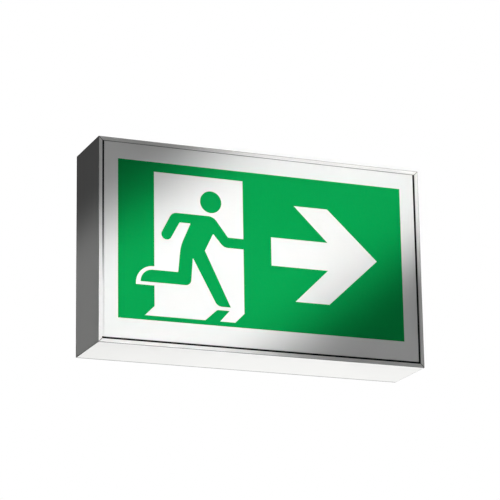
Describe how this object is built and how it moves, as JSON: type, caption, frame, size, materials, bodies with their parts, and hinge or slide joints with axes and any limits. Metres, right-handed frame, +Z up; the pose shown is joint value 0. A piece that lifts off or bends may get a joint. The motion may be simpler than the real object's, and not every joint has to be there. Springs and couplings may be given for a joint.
{
  "type": "emergency exit light",
  "caption": "Flat white box sign light for a wall, with a lit green legend showing a figure running out of a doorway and an arrow to the right.",
  "frame": {"origin": "centre of the four wall fixing holes, on the wall face", "axes": "+X along the case to the right as seen from the front, +Y into the wall, +Z up; the legend faces -Y"},
  "size_m": [0.3518, 0.07, 0.21],
  "materials": {
    "white": "fine satin white powder coat",
    "cleat_steel": "zinc-plated pressed steel",
    "opal": "opal acrylic with a slight sheen",
    "seal": "black closed-cell foam",
    "legend_green": "safety green print on a clear film",
    "gear_white": "white enamelled steel sheet",
    "fixings": "bright zinc-plated steel",
    "strip": "white solder-mask circuit board with LEDs",
    "converter_steel": "galvanised steel",
    "board": "green circuit board with its parts",
    "converter_shell": "white moulded cover",
    "cells": "blue shrink-sleeved cells",
    "spring_steel": "spring steel strip",
    "wall_steel": "satin white powder-coated steel",
    "bracket_steel": "galvanised steel",
    "bush": "black rubber",
    "terminal": "white polyamide",
    "brass": "plain brass",
    "switch_black": "black moulded plastic",
    "button_red": "red moulded plastic",
    "lens": "green clear plastic lens"
  },
  "bodies": {
    "case": {"frame_top": "white", "frame_bottom": "white", "frame_left": "white", "frame_right": "white", "corner_cleat_top_right": "cleat_steel", "corner_cleat_bottom_right": "cleat_steel", "corner_cleat_bottom_left": "cleat_steel", "corner_cleat_top_left": "cleat_steel", "legend_panel": "opal", "panel_gasket": "seal", "legend_film": "legend_green", "gear_plate": "gear_white", "gear_plate_screws": "fixings", "led_strip_1": "strip", "led_strip_2": "strip", "led_strip_3": "strip", "converter_base": "converter_steel", "converter_board": "board", "converter_cover": "converter_shell", "converter_screws": "fixings", "battery_pack": "cells", "battery_clip_left": "spring_steel", "battery_clip_right": "spring_steel", "back_plate": "wall_steel", "hook_bracket_left": "bracket_steel", "hook_bracket_right": "bracket_steel", "captive_nuts": "fixings", "fixing_screws": "fixings", "cable_bush": "bush", "terminal_block": "terminal", "terminal_screws": "brass", "earth_stud": "brass", "earth_nut": "brass", "switch_barrel": "switch_black", "switch_nut": "fixings", "switch_contacts": "switch_black", "indicator_bezel": "fixings", "charge_lamp": "lens"},
    "button": {"test_button": "button_red"}
  },
  "joints": [
    {"name": "test_press", "type": "slide", "parent": "case", "child": "button", "axis": [-1, 0, 0], "range_m": [0, 0.0015], "stiffness_N_per_m": 1000, "springref_m": -0.0008}
  ]
}
